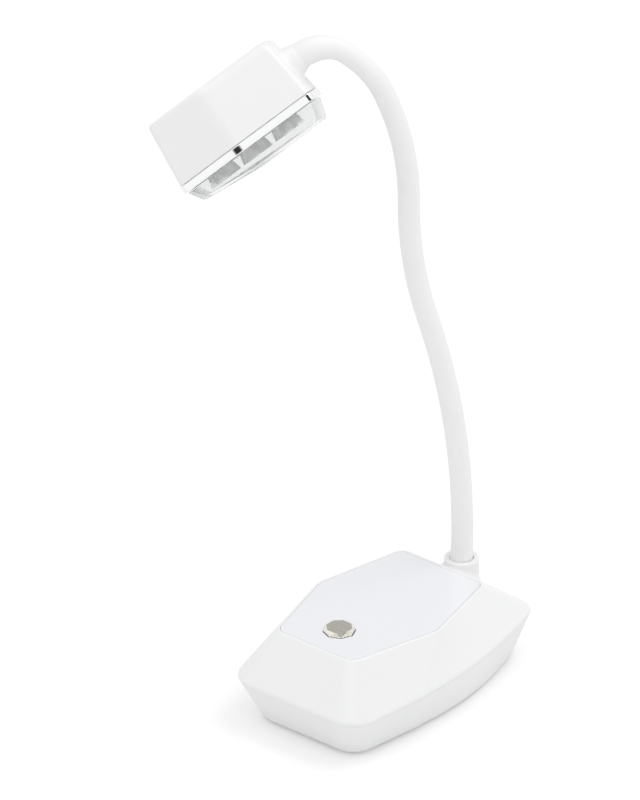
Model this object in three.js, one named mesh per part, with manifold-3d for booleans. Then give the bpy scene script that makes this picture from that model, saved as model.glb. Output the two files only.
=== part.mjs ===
// A cordless gooseneck lamp for curing gel and resin: a weighted base, a bendable neck and an LED head.
// Millimetres, +Z up, the front of the base faces -Y. The origin is under the middle of the base.
import * as THREE from 'three';
import { mergeVertices } from 'three/addons/utils/BufferGeometryUtils.js';
import Module from 'manifold-3d';

const wasm = await Module();
wasm.setup();

// ---- Driving dimensions ----

const GAP = 0.3;                 // clearance between pieces that touch

// Each level of the base is a long hexagon: z, then [half width, y] and the corner's radius in plan
// at its front, middle and back. Its rear sides swell outwards by the bow.
const BASE_TOP = {
  z: 44.6, bow: 0, ends: [[22.4, -51.2], [34.4, -6], [24.0, 40.2]], radii: [7, 14, 5],
};
const BASE_GIRTH = {
  z: 22.3, bow: 3.6, ends: [[36.2, -66.6], [41.4, -24], [30.8, 68.4]], radii: [13, 18, 8],
};
const BASE_BOTTOM = {
  z: 1.4, bow: 3.8, ends: [[28.6, -57], [34.2, -19], [26.8, 60.5]], radii: [11, 18, 11],
};
const BOWED_SIDES = [1, 3];      // counted round from the one after the right front corner
const BASE_WALL = 2.2;
const RIM = 1.1;                 // width of the shell's rim around the top panel
const PANEL_THICK = 1.5;
const PAD_THICK = 2.2;
const PAD_INSET = 4;

const BALLAST_THICK = 5;
const BATTERY_RADIUS = 9.2;
const BATTERY_LENGTH = 65;

const BUTTON_Y = -33;
const BUTTON_FLAT = 6.6;         // half the distance across the octagon's flats
const BUTTON_TOP_FLAT = 5.6;
const BUTTON_PROUD = 1.9;
const BUTTON_FACETS = 1.7;       // height of the ring of triangular facets

const SCREW_PLACES = [[-16, -43], [16, -43], [-16, 35], [16, 35]];
const STANDOFF_PLACES = [[-9.5, -47.5], [9.5, -47.5], [-9.5, -17], [9.5, -17]];
const SOCKET_Z = 14;

const NECK_FOOT = [0, 52.7, 44.6];
const NECK_HEADING = 50.6;       // degrees from +X of the upright plane that the neck bends in
const NECK_LEAN = -2;            // degrees from upright at the foot, positive towards the head
const NECK_ARCS = [[124.6, 18.6], [61, -16.8], [56, 23.2], [29.5, 30.2], [21, 72.8]];  // length, turn
const NECK_RADIUS = 4.9;
const SLEEVE_BORE = 3.5;
const CORE_RADIUS = 3.2;
const CORE_BORE = 1.5;
const HINGES = [22, 50, 78, 106, 134, 162, 190, 216, 242, 264];  // distance along the neck
const HINGE_GAP = 2.6;           // the sleeve is parted by this much at each hinge
const COLLAR_RADIUS = 7.85;
const COLLAR_BORE = 5.6;
const COLLAR_TOP = 43.8;
const FERRULE_TOP = 33;

// Each level of the head, in its own frame: x runs from the neck to the front, z up from mid height.
const HEAD_TOP = { z: 14.8, ends: [[12.0, 1.4], [19.2, 37.5], [12.0, 65.6]] };
const HEAD_BOTTOM = { z: -15, ends: [[14.5, -1.4], [22.0, 38.2], [14.5, 69.2]] };
const HEAD_RADII = [3, 12, 2.5];
const HEAD_WALL = 2;
const HEAD_ROLL = 30.6;          // degrees the head is turned about its length
const HEAD_BOSS = 5.8;           // length of the cone that the neck enters
const TRIM_HEIGHT = 3.6;
const TRIM_PROUD = 0.4;
const LENS_TOP_INSET = 1.0;
const LENS_BOTTOM = [[11.8, 2.4], [19.5, 38.2], [12.0, 64.6]];
const LENS_DEPTHS = [9.4, 9.7, 6.8];   // at the back, middle and front
const LENS_WALL = 1.4;
const LAMP_PITCH = 17.5;
const LAMP_MIDDLE = 35;

// ---- Solids ----

const radians = THREE.MathUtils.degToRad;

function solid(geometry) {
  const bare = geometry.clone();
  bare.deleteAttribute('normal');
  bare.deleteAttribute('uv');
  const merged = mergeVertices(bare, 1e-4);
  const vertProperties = new Float32Array(merged.attributes.position.array);
  const triVerts = new Uint32Array(merged.index.array);
  return new wasm.Manifold(new wasm.Mesh({ numProp: 3, vertProperties, triVerts }));
}

function geometryOf(body) {
  const mesh = body.getMesh();
  const geometry = new THREE.BufferGeometry();
  geometry.setAttribute('position', new THREE.BufferAttribute(new Float32Array(mesh.vertProperties), 3));
  geometry.setIndex(new THREE.BufferAttribute(new Uint32Array(mesh.triVerts), 1));
  return geometry;
}

// Joins the first geometry with those in add, then cuts away those in cut.
function carve(first, { add = [], cut = [] }) {
  let body = solid(first);
  for (const piece of add) body = body.add(solid(piece));
  for (const piece of cut) body = body.subtract(solid(piece));
  return geometryOf(body);
}

// A closed skin through rings of equal length. Caps close its ends, or the last ring joins the first.
function loft(rings, joined = false) {
  const count = rings[0].length;
  const points = rings.flat();
  const index = [];
  const last = joined ? rings.length : rings.length - 1;
  for (let i = 0; i < last; i += 1) {
    const a = i * count;
    const b = ((i + 1) % rings.length) * count;
    for (let j = 0; j < count; j += 1) {
      const k = (j + 1) % count;
      index.push(a + j, a + k, b + k, a + j, b + k, b + j);
    }
  }
  if (!joined) {
    const ends = [rings[0], rings.at(-1)];
    ends.forEach((ring, end) => {
      const middle = ring.reduce((sum, p) => sum.add(p), new THREE.Vector3()).divideScalar(count);
      const start = end === 0 ? 0 : (rings.length - 1) * count;
      points.push(middle);
      for (let j = 0; j < count; j += 1) {
        const k = (j + 1) % count;
        const pair = end === 0 ? [start + k, start + j] : [start + j, start + k];
        index.push(...pair, points.length - 1);
      }
    });
  }
  const geometry = new THREE.BufferGeometry().setFromPoints(points);
  geometry.setIndex(index);
  return geometry;
}

// A round piece about Z from a profile of [radius, z] points.
function turned(profile, sides = 24) {
  const points = profile.map(([r, z]) => new THREE.Vector2(r, z));
  return new THREE.LatheGeometry(points, sides).rotateX(Math.PI / 2);
}

function rod(radius, z0, z1, sides = 24) {
  return turned([[0, z0], [radius, z0], [radius, z1], [0, z1]], sides);
}

// A straight prism with flat sides. flat is the distance from its axis to a side.
function prism(sides, flat, z0, z1) {
  const turn = Math.PI / sides;
  const corner = flat / Math.cos(turn);
  const geometry = new THREE.CylinderGeometry(corner, corner, z1 - z0, sides);
  return geometry.rotateX(Math.PI / 2).rotateZ(turn).translate(0, 0, (z0 + z1) / 2);
}

// An octagon's corners at a height. turn is the angle of the first of them from +X.
function octagonRing(flat, turn, z) {
  const corner = flat / Math.cos(Math.PI / 8);
  const angles = Array.from({ length: 8 }, (_, i) => turn + i * Math.PI / 4);
  return angles.map((angle) => new THREE.Vector3(corner * Math.cos(angle), corner * Math.sin(angle), z));
}

function block(x0, x1, y0, y1, z0, z1) {
  const box = new THREE.BoxGeometry(x1 - x0, y1 - y0, z1 - z0);
  return box.translate((x0 + x1) / 2, (y0 + y1) / 2, (z0 + z1) / 2);
}

// ---- Plans of the base and the head ----

// The six corners of a level of the base, counter-clockwise from above.
function baseCorners(ends) {
  const right = ends.map(([w, y]) => new THREE.Vector2(w, y));
  const left = ends.map(([w, y]) => new THREE.Vector2(-w, y)).reverse();
  return [...right, ...left];
}

// The six corners of a level of the head, counter-clockwise from above.
function headCorners(ends) {
  const near = ends.map(([w, x]) => new THREE.Vector2(x, -w));
  const far = ends.map(([w, x]) => new THREE.Vector2(x, w)).reverse();
  return [...near, ...far];
}

// Moves every side of a polygon inwards by the same distance.
function inset(corners, distance) {
  return corners.map((corner, i) => {
    const before = corners.at(i - 1);
    const after = corners[(i + 1) % corners.length];
    const a = corner.clone().sub(before).normalize();
    const b = after.clone().sub(corner).normalize();
    const half = Math.acos(THREE.MathUtils.clamp(a.dot(b), -1, 1)) / 2;
    const inward = new THREE.Vector2(-a.y - b.y, a.x + b.x).normalize();
    return corner.clone().addScaledVector(inward, distance / Math.cos(half));
  });
}

// Rounds the corners of a polygon, with the same number of points at each. The radii are those of one
// side's corners, which the other side repeats in reverse.
function rounded(corners, radii, steps = 3) {
  const around = [...radii, ...radii.toReversed()];
  return corners.map((corner, i) => {
    const points = [];
    const radius = around[i];
    const a = corner.clone().sub(corners.at(i - 1)).normalize();
    const b = corners[(i + 1) % corners.length].clone().sub(corner).normalize();
    const turn = Math.acos(THREE.MathUtils.clamp(a.dot(b), -1, 1));
    const start = corner.clone().addScaledVector(a, -radius * Math.tan(turn / 2));
    const centre = start.clone().add(new THREE.Vector2(-a.y, a.x).multiplyScalar(radius));
    for (let k = 0; k <= steps; k += 1) {
      points.push(start.clone().rotateAround(centre, turn * k / steps));
    }
    return points;
  });
}

// Adds points along the bowed sides between rounded corners, and joins all of them in one list.
function bowed(arcs, bow, steps = 4) {
  return arcs.flatMap((arc, i) => {
    if (!BOWED_SIDES.includes(i)) return arc;
    const start = arc.at(-1);
    const end = arcs[i + 1][0];
    const along = end.clone().sub(start).normalize();
    const outward = new THREE.Vector2(along.y, -along.x);
    const points = [...arc];
    for (let k = 1; k < steps; k += 1) {
      const t = k / steps;
      points.push(start.clone().lerp(end, t).addScaledVector(outward, 4 * bow * t * (1 - t)));
    }
    return points;
  });
}

function ringAt(points, z) {
  const height = typeof z === 'function' ? z : () => z;
  return points.map((p) => new THREE.Vector3(p.x, p.y, height(p)));
}

function baseRing(level, distance, z = level.z) {
  const radii = level.radii.map((radius) => Math.max(radius - distance, 1.5));
  return ringAt(bowed(rounded(inset(baseCorners(level.ends), distance), radii), level.bow), z);
}

function headRing(ends, distance, z) {
  const radii = HEAD_RADII.map((radius) => Math.max(radius - distance, 0.8));
  return ringAt(rounded(inset(headCorners(ends), distance), radii).flat(), z);
}

// The level of the base at a height between two given levels.
function levelBetween(low, high, z) {
  const t = (z - low.z) / (high.z - low.z);
  const { lerp } = THREE.MathUtils;
  return {
    z,
    bow: lerp(low.bow, high.bow, t),
    ends: low.ends.map(([w, y], i) => [lerp(w, high.ends[i][0], t), lerp(y, high.ends[i][1], t)]),
    radii: low.radii.map((radius, i) => lerp(radius, high.radii[i], t)),
  };
}

// ---- The neck's centre line ----

const headward = new THREE.Vector3(-Math.cos(radians(NECK_HEADING)), -Math.sin(radians(NECK_HEADING)), 0);
const upward = new THREE.Vector3(0, 0, 1);
const sideways = new THREE.Vector3().crossVectors(upward, headward);

// The point on the neck at a distance along it, with the direction it runs in and its upper normal.
function neckAt(distance) {
  let lean = radians(NECK_LEAN);
  let along = 0;
  let up = 0;
  let left = distance;
  if (left < 0) {
    along += Math.sin(lean) * left;
    up += Math.cos(lean) * left;
  }
  for (const [length, turn] of NECK_ARCS) {
    if (left <= 0) break;
    const radius = length / radians(turn);
    const end = lean + Math.min(left, length) / radius;
    along += radius * (Math.cos(lean) - Math.cos(end));
    up += radius * (Math.sin(end) - Math.sin(lean));
    lean = end;
    left -= length;
  }
  const flat = (a, u) => headward.clone().multiplyScalar(a).addScaledVector(upward, u);
  return {
    point: flat(along, up).add(new THREE.Vector3(...NECK_FOOT)),
    tangent: flat(Math.sin(lean), Math.cos(lean)),
    normal: flat(-Math.cos(lean), Math.sin(lean)),
  };
}

const NECK_LENGTH = NECK_ARCS.reduce((sum, [length]) => sum + length, 0);

// The sleeve is a little wider where it leaves the base and where it enters the head.
function sleeveRadius(distance) {
  const foot = 0.3 * THREE.MathUtils.smoothstep(6 - distance, 0, 8);
  const head = 1.1 * THREE.MathUtils.smoothstep(distance, NECK_LENGTH - 20, NECK_LENGTH - 2);
  return NECK_RADIUS + foot + head;
}

function neckTube(from, to, outer, inner, sides) {
  const bend = neckAt(from).tangent.angleTo(neckAt(to).tangent);
  const steps = Math.max(2, Math.ceil(bend / radians(12)));
  const ring = (step, radius) => {
    const distance = THREE.MathUtils.lerp(from, to, step / steps);
    const { point, normal } = neckAt(distance);
    const points = [];
    for (let j = 0; j < sides; j += 1) {
      const angle = 2 * Math.PI * j / sides;
      const r = radius(distance);
      points.push(point.clone().addScaledVector(normal, r * Math.cos(angle))
        .addScaledVector(sideways, -r * Math.sin(angle)));
    }
    return points;
  };
  const rings = [];
  for (let i = 0; i <= steps; i += 1) rings.push(ring(i, outer));
  for (let i = steps; i >= 0; i -= 1) rings.push(ring(i, () => inner));
  return loft(rings, true);
}

// ---- Scene ----

const group = new THREE.Group();
group.name = 'gooseneck_curing_lamp';

function finish(color, roughness, metalness = 0, others = {}) {
  return () => new THREE.MeshStandardMaterial({ color, roughness, metalness, ...others });
}

const whiteGloss = finish(0xf4f4f5, 0.3);
const panelGloss = finish(0xe6e8ee, 0.18);
const whiteSleeve = finish(0xf0f0f0, 0.5);
const greyRubber = finish(0xc9c9cb, 0.85);
const blackPlastic = finish(0x1d1d1f, 0.6);
const greenBoard = finish(0x1f5a37, 0.5);
const whiteBoard = finish(0xf2f2ee, 0.4);
const zincSteel = finish(0x9a9ca0, 0.4, 1);
const springSteel = finish(0x83868b, 0.35, 1);
const nickel = finish(0x9c9389, 0.3, 1);
const chrome = finish(0xe9eaec, 0.06, 1);
const aluminium = finish(0xb9bcc0, 0.35, 1);
const cellWrap = finish(0x2f5f9e, 0.4);
const yellowPhosphor = finish(0xd9cf8a, 0.35);

const clearPlastic = finish(0xf2f5f6, 0.05, 0, { transparent: true, opacity: 0.35 });

function add(name, geometry, material, parent = group) {
  const mesh = new THREE.Mesh(geometry, material());
  mesh.name = name;
  parent.add(mesh);
}

// ---- Base ----

const seamLow = { ...BASE_GIRTH, z: BASE_GIRTH.z - GAP / 2 };
const seamHigh = { ...BASE_GIRTH, z: BASE_GIRTH.z + GAP / 2 };
const recessFloor = BASE_TOP.z - PANEL_THICK - GAP;
const shellRoof = recessFloor - BASE_WALL;
const recessRoof = PAD_THICK + GAP;
const innerFloor = recessRoof + BASE_WALL;
const postFoot = innerFloor + 4;
const boardTop = 34.6;

function buttonHole(z0) {
  return prism(8, BUTTON_FLAT + GAP, z0, BASE_TOP.z + 1).rotateZ(Math.PI / 8).translate(0, BUTTON_Y, 0);
}

function baseUpperShell() {
  const shell = loft([
    baseRing(levelBetween(BASE_GIRTH, BASE_TOP, shellRoof), BASE_WALL),
    baseRing(seamHigh, BASE_WALL),
    baseRing(seamHigh, 0),
    baseRing(BASE_TOP, 0),
    baseRing(BASE_TOP, RIM),
    baseRing(BASE_TOP, RIM, recessFloor),
  ]);
  const posts = SCREW_PLACES.map(([x, y]) => {
    return rod(3.4, postFoot + GAP, shellRoof + 1, 16).translate(x, y, 0);
  });
  const standoffs = STANDOFF_PLACES.map(([x, y]) => {
    return rod(1.5, boardTop + GAP, shellRoof + 1, 12).translate(x, y, 0);
  });
  const pilots = SCREW_PLACES.map(([x, y]) => rod(1.75, postFoot - 1, 20, 12).translate(x, y, 0));
  const [x, y] = NECK_FOOT;
  const collar = rod(COLLAR_RADIUS, 25, COLLAR_TOP, 32).translate(x, y, 0);
  const socket = rod(COLLAR_BORE, FERRULE_TOP - 3, COLLAR_TOP + 1, 32).translate(x, y, 0);
  const passage = rod(4.3, 24, FERRULE_TOP, 24).translate(x, y, 0);
  const hole = buttonHole(shellRoof - 1);
  return carve(shell, { add: [...posts, ...standoffs, collar], cut: [...pilots, socket, passage, hole] });
}

function baseLowerShell() {
  const shell = loft([
    baseRing(levelBetween(BASE_BOTTOM, BASE_GIRTH, innerFloor), BASE_WALL),
    baseRing(seamLow, BASE_WALL),
    baseRing(seamLow, 0),
    baseRing(BASE_BOTTOM, 0),
    baseRing(BASE_BOTTOM, PAD_INSET - GAP),
    baseRing(BASE_BOTTOM, PAD_INSET - GAP, recessRoof),
  ].reverse());
  const bosses = SCREW_PLACES.map(([x, y]) => rod(4.6, innerFloor - 1, postFoot, 16).translate(x, y, 0));
  const heads = SCREW_PLACES.map(([x, y]) => rod(3.1, 0, innerFloor + 0.6, 16).translate(x, y, 0));
  const holes = SCREW_PLACES.map(([x, y]) => rod(1.8, 0, postFoot + 1, 12).translate(x, y, 0));
  const mouth = block(-4.9, 4.9, 55, 75, SOCKET_Z - 2.0, SOCKET_Z + 2.0);
  return carve(shell, { add: bosses, cut: [...heads, ...holes, mouth] });
}

function topPanel() {
  const top = baseRing(BASE_TOP, RIM + GAP);
  const foot = baseRing(BASE_TOP, RIM + GAP, recessFloor + GAP);
  return carve(loft([foot, top]), { cut: [buttonHole(recessFloor - 1)] });
}

function basePad() {
  return loft([baseRing(BASE_BOTTOM, PAD_INSET, 0), baseRing(BASE_BOTTOM, PAD_INSET, PAD_THICK)]);
}

function ballastPlate() {
  const z0 = innerFloor + GAP;
  const plate = loft([baseRing(BASE_BOTTOM, 6, z0), baseRing(BASE_BOTTOM, 6, z0 + BALLAST_THICK)]);
  const notches = SCREW_PLACES.map(([x, y]) => rod(5.2, z0 - 1, z0 + 9, 16).translate(x, y, 0));
  return carve(plate, { cut: notches });
}

function baseScrew() {
  const seat = innerFloor + 0.6 - GAP;
  return turned([[0, seat - 2], [2.8, seat - 2], [2.8, seat], [1.45, seat], [1.45, 15], [0, 16]], 16);
}

const ballastTop = innerFloor + GAP + BALLAST_THICK;
const batteryAxis = ballastTop + 1.2 + GAP + BATTERY_RADIUS;

function batteryCell() {
  const half = BATTERY_LENGTH / 2;
  const profile = [[0, -half], [8.6, -half], [9.2, 0.6 - half], [9.2, half - 1.4], [8.2, half - 1.2]];
  return turned([...profile, [3, half - 1.2], [3, half], [0, half]], 24)
    .rotateX(-Math.PI / 2).translate(0, 0, batteryAxis);
}

function batteryHolder() {
  const half = BATTERY_LENGTH / 2 + 2.5;
  const z0 = ballastTop + GAP;
  const tray = block(-11.5, 11.5, -half, half, z0, z0 + 9.5);
  const room = rod(BATTERY_RADIUS + GAP, -half + 2, half - 2, 24)
    .rotateX(-Math.PI / 2).translate(0, 0, batteryAxis);
  return carve(tray, { cut: [room] });
}

function controlBoard() {
  return block(-12, 12, -50, -14, boardTop - 1.6, boardTop);
}

const switchTop = boardTop + GAP + 1.7;
const plungerTop = switchTop + 1.1;

function switchBody() {
  const body = block(-3, 3, -3, 3, boardTop + GAP, switchTop);
  const well = rod(1.9, boardTop + GAP + 0.3, switchTop + 1, 16);
  return carve(body, { cut: [well] }).translate(0, BUTTON_Y, 0);
}

function switchPlunger() {
  return rod(1.5, switchTop - 0.5, plungerTop, 16).translate(0, BUTTON_Y, 0);
}

const flangeTop = shellRoof - GAP;
const flangeFoot = flangeTop - 0.9;
const guideTop = flangeFoot - 1.9;

function buttonCap() {
  const crown = BASE_TOP.z + BUTTON_PROUD;
  const girdle = octagonRing(BUTTON_FLAT, 0, crown - BUTTON_FACETS);
  const top = octagonRing(BUTTON_TOP_FLAT, Math.PI / 8, crown);
  const skirt = loft([octagonRing(BUTTON_FLAT, 0, flangeTop - 0.2), girdle, top]);
  const flange = prism(8, BUTTON_FLAT + 1.2, flangeFoot, flangeTop).rotateZ(Math.PI / 8);
  const stem = rod(2, plungerTop + GAP, flangeFoot + 0.2, 16);
  return carve(skirt, { add: [flange, stem] }).translate(0, BUTTON_Y, 0);
}

function buttonGuide() {
  const cup = rod(BUTTON_FLAT + 3, guideTop - 0.8, shellRoof - GAP, 24);
  const room = rod(BUTTON_FLAT + 2, guideTop, shellRoof + 1, 24);
  return carve(cup, { cut: [room, rod(2.4, guideTop - 2, guideTop + 1, 16)] }).translate(0, BUTTON_Y, 0);
}

function buttonSpring() {
  const profile = [[4.4, guideTop + 0.15], [5.4, guideTop + 0.15], [4.2, flangeFoot - 0.15],
    [3.2, flangeFoot - 0.15], [4.4, guideTop + 0.15]];
  return turned(profile, 20).translate(0, BUTTON_Y, 0);
}

const socketFront = 64.9;

function socketShell() {
  const shell = block(-4.5, 4.5, socketFront - 8, socketFront, SOCKET_Z - 1.65, SOCKET_Z + 1.65);
  const mouth = block(-4.2, 4.2, socketFront - 7.4, socketFront + 1, SOCKET_Z - 1.3, SOCKET_Z + 1.3);
  return carve(shell, { cut: [mouth] });
}

function socketTongue() {
  return block(-3.3, 3.3, socketFront - 7.0, socketFront - 0.8, SOCKET_Z - 0.35, SOCKET_Z + 0.35);
}

function socketBoard() {
  const z1 = SOCKET_Z - 1.65 - GAP;
  return block(-8, 8, 38.5, socketFront - 6.2, z1 - 1.2, z1);
}

function neckFerrule() {
  const profile = [[2, 17], [3.9, 17], [3.9, FERRULE_TOP - 3 + GAP], [5.4, FERRULE_TOP - 3 + GAP],
    [5.4, FERRULE_TOP], [2, FERRULE_TOP], [2, 17]];
  return turned(profile, 20).translate(NECK_FOOT[0], NECK_FOOT[1], 0);
}

function neckNut() {
  const nut = carve(prism(6, 6.5, 20.5, 24.7), { cut: [rod(4.2, 19, 26, 20)] });
  return nut.translate(NECK_FOOT[0], NECK_FOOT[1], 0);
}

function buildBase() {
  add('base_upper_shell', baseUpperShell(), whiteGloss);
  add('base_lower_shell', baseLowerShell(), whiteGloss);
  add('top_panel', topPanel(), panelGloss);
  add('base_pad', basePad(), greyRubber);
  add('ballast_plate', ballastPlate(), zincSteel);
  add('battery_cell', batteryCell(), cellWrap);
  add('battery_holder', batteryHolder(), blackPlastic);
  add('control_board', controlBoard(), greenBoard);
  add('switch_body', switchBody(), blackPlastic);
  add('switch_plunger', switchPlunger(), blackPlastic);
  add('button_cap', buttonCap(), nickel);
  add('button_guide', buttonGuide(), blackPlastic);
  add('button_spring', buttonSpring(), springSteel);
  add('socket_shell', socketShell(), zincSteel);
  add('socket_tongue', socketTongue(), blackPlastic);
  add('socket_board', socketBoard(), greenBoard);
  SCREW_PLACES.forEach(([x, y], i) => {
    add(`base_screw_${i + 1}`, baseScrew().translate(x, y, 0), zincSteel);
  });
  add('neck_ferrule', neckFerrule(), zincSteel);
  add('neck_nut', neckNut(), zincSteel);
}

// ---- Neck ----

function buildNeck() {
  const foot = FERRULE_TOP + GAP - NECK_FOOT[2];
  const stops = [foot, ...HINGES, NECK_LENGTH];
  for (let i = 0; i < stops.length - 1; i += 1) {
    const from = stops[i] + (i === 0 ? 0 : HINGE_GAP / 2);
    const last = i === stops.length - 2;
    const to = stops[i + 1] - (last ? GAP : HINGE_GAP / 2);
    const coreTo = last ? NECK_LENGTH - 2.4 : to;
    const number = String(i).padStart(2, '0');
    add(`neck_sleeve_${number}`, neckTube(from, to, sleeveRadius, SLEEVE_BORE, 12), whiteSleeve);
    add(`neck_core_${number}`, neckTube(from, coreTo, () => CORE_RADIUS, CORE_BORE, 8), springSteel);
  }
}

// ---- Head ----

const head = new THREE.Group();
const neckEnd = neckAt(NECK_LENGTH);
const headUp = neckEnd.normal.clone().applyAxisAngle(neckEnd.tangent, radians(HEAD_ROLL));
const headSide = new THREE.Vector3().crossVectors(headUp, neckEnd.tangent);
head.quaternion.setFromRotationMatrix(new THREE.Matrix4().makeBasis(neckEnd.tangent, headSide, headUp));
head.position.copy(neckEnd.point).addScaledVector(neckEnd.tangent, HEAD_BOSS);

const trimTop = HEAD_BOTTOM.z - GAP;
const trimFoot = trimTop - TRIM_HEIGHT;
const lensTop = trimFoot - GAP;
const lampPlaces = [-1, 0, 1].map((i) => LAMP_MIDDLE + i * LAMP_PITCH);
const headScrewPlaces = [[LAMP_MIDDLE - LAMP_PITCH / 2, 11], [LAMP_MIDDLE + LAMP_PITCH / 2, -11]];
const sinkTop = -8.5;
const sinkFoot = sinkTop - 2;
const boardFoot = sinkFoot - GAP - 1.6;

function alongHead(geometry) {
  return geometry.rotateY(Math.PI / 2);
}

function headShell() {
  const shell = loft([
    headRing(HEAD_TOP.ends, HEAD_WALL, HEAD_TOP.z - HEAD_WALL),
    headRing(HEAD_BOTTOM.ends, HEAD_WALL, HEAD_BOTTOM.z),
    headRing(HEAD_BOTTOM.ends, 0, HEAD_BOTTOM.z),
    headRing(HEAD_TOP.ends, 0, HEAD_TOP.z),
  ]);
  const profile = [[0, -HEAD_BOSS], [6.3, -HEAD_BOSS], [6.8, -3.2], [8.8, 0], [8.8, 0.9], [0, 0.9]];
  const boss = alongHead(turned(profile));
  const seat = alongHead(rod(4.9, -HEAD_BOSS - 1, -1));
  const bore = alongHead(rod(3.5, -2, 6));
  const posts = headScrewPlaces.map(([x, y]) => {
    return rod(2.8, sinkTop + GAP, HEAD_TOP.z - 1, 12).translate(x, y, 0);
  });
  const pilots = headScrewPlaces.map(([x, y]) => rod(1.3, sinkTop - 1, 2, 12).translate(x, y, 0));
  return carve(shell, { add: [boss, ...posts], cut: [seat, bore, ...pilots] });
}

function headTrim() {
  const ends = HEAD_BOTTOM.ends;
  return loft([
    headRing(ends, -TRIM_PROUD, trimFoot),
    headRing(ends, -TRIM_PROUD, trimTop),
    headRing(ends, HEAD_WALL, trimTop),
    headRing(ends, HEAD_WALL, trimFoot),
  ], true);
}

// How far the lens hangs below its rim at a place along the head.
function lensDepth(x) {
  const [back, middle, front] = LENS_DEPTHS;
  const [start, centre, end] = LENS_BOTTOM.map(([, place]) => place);
  if (x < centre) return THREE.MathUtils.mapLinear(x, start, centre, back, middle);
  return THREE.MathUtils.mapLinear(x, centre, end, middle, front);
}

function lensCover() {
  const outer = (p) => lensTop - lensDepth(p.x);
  const inner = (p) => lensTop - lensDepth(p.x) + LENS_WALL;
  return loft([
    headRing(LENS_BOTTOM, 0, outer),
    headRing(HEAD_BOTTOM.ends, LENS_TOP_INSET, lensTop),
    headRing(HEAD_BOTTOM.ends, LENS_TOP_INSET + LENS_WALL, lensTop),
    headRing(LENS_BOTTOM, LENS_WALL, inner),
  ]);
}

function heatSink() {
  const ends = HEAD_BOTTOM.ends;
  const plate = loft([headRing(ends, 3.5, sinkFoot), headRing(ends, 3.5, sinkTop)]);
  const holes = headScrewPlaces.map(([x, y]) => rod(1.5, sinkFoot - 1, sinkTop + 1, 12).translate(x, y, 0));
  return carve(plate, { cut: holes });
}

function ledBoard() {
  const ends = HEAD_BOTTOM.ends;
  const top = sinkFoot - GAP;
  const plate = loft([headRing(ends, 4.5, boardFoot), headRing(ends, 4.5, top)]);
  const holes = headScrewPlaces.map(([x, y]) => rod(1.5, boardFoot - 1, top + 1, 12).translate(x, y, 0));
  return carve(plate, { cut: holes });
}

function led() {
  const z1 = boardFoot - GAP;
  const dome = turned([[0, z1 - 2], [1.1, z1 - 1.7], [1.6, z1 - 0.9], [0, z1 - 0.9]], 16);
  return carve(block(-2, 2, -2, 2, z1 - 1, z1), { add: [dome] });
}

function reflector() {
  const z1 = boardFoot - GAP;
  const mouth = lensTop - 4.7;
  const inside = [[3.3, z1], [5.9, z1 - 4.5], [7.3, mouth]];
  const outside = [[8, mouth], [6.6, z1 - 4.5], [4.4, z1]];
  return turned([...inside, ...outside, inside[0]], 20);
}

function headScrew() {
  const z0 = boardFoot - GAP;
  return turned([[0, z0 - 1.4], [2.2, z0 - 1.4], [2.2, z0], [1.1, z0], [1.1, 0.5], [0, 1.2]], 12);
}

function headFerrule() {
  const inside = [[CORE_BORE, 9], [CORE_BORE, -HEAD_BOSS - 1.5]];
  const spigot = [[3.2, -HEAD_BOSS - 1.5], [3.2, -HEAD_BOSS + 0.4]];
  const flange = [[4.6, -HEAD_BOSS + 0.4], [4.6, -1.3]];
  const thread = [[3.2, -1.3], [3.2, 9]];
  return alongHead(turned([...inside, ...spigot, ...flange, ...thread, inside[0]], 16));
}

function headNut() {
  return alongHead(carve(prism(6, 5, 3, 6.6), { cut: [rod(3.5, 2, 8, 16)] }));
}

function buildHead() {
  add('head_shell', headShell(), whiteGloss, head);
  add('head_trim', headTrim(), chrome, head);
  add('lens_cover', lensCover(), clearPlastic, head);
  add('heat_sink', heatSink(), aluminium, head);
  add('led_board', ledBoard(), whiteBoard, head);
  lampPlaces.forEach((x, i) => {
    add(`led_${i + 1}`, led().translate(x, 0, 0), yellowPhosphor, head);
    add(`reflector_${i + 1}`, reflector().translate(x, 0, 0), chrome, head);
  });
  headScrewPlaces.forEach(([x, y], i) => {
    add(`head_screw_${i + 1}`, headScrew().translate(x, y, 0), zincSteel, head);
  });
  add('head_ferrule', headFerrule(), zincSteel, head);
  add('head_nut', headNut(), zincSteel, head);
  group.add(head);
}

buildBase();
buildNeck();
buildHead();

export default group;
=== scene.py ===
"""The looks of a cordless gooseneck curing lamp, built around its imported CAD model.

Sizes are millimetres until a mesh is made, and +Z is up. The base's front faces -Y. The head is built in
its own frame: x runs from the neck to the head's front, z is up from the middle of its height.
"""

import math

import bpy
from mathutils import Matrix, Vector


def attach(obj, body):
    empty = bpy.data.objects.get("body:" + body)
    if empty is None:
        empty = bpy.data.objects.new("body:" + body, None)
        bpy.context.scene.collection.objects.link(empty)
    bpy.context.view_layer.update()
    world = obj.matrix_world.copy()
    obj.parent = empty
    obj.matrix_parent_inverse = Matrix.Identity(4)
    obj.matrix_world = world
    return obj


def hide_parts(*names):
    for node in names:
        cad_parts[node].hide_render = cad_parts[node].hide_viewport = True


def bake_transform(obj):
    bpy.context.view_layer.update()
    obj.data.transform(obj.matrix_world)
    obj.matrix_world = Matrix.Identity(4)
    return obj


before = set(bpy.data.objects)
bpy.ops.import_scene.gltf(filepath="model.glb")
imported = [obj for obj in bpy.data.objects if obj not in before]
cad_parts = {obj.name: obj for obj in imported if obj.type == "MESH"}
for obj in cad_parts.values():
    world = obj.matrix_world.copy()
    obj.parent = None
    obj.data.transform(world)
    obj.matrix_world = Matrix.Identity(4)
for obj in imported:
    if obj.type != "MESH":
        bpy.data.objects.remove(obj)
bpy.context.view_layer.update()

MM = 0.001

# ---- Driving sizes, the same as the CAD's except where a comment says so ----

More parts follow.
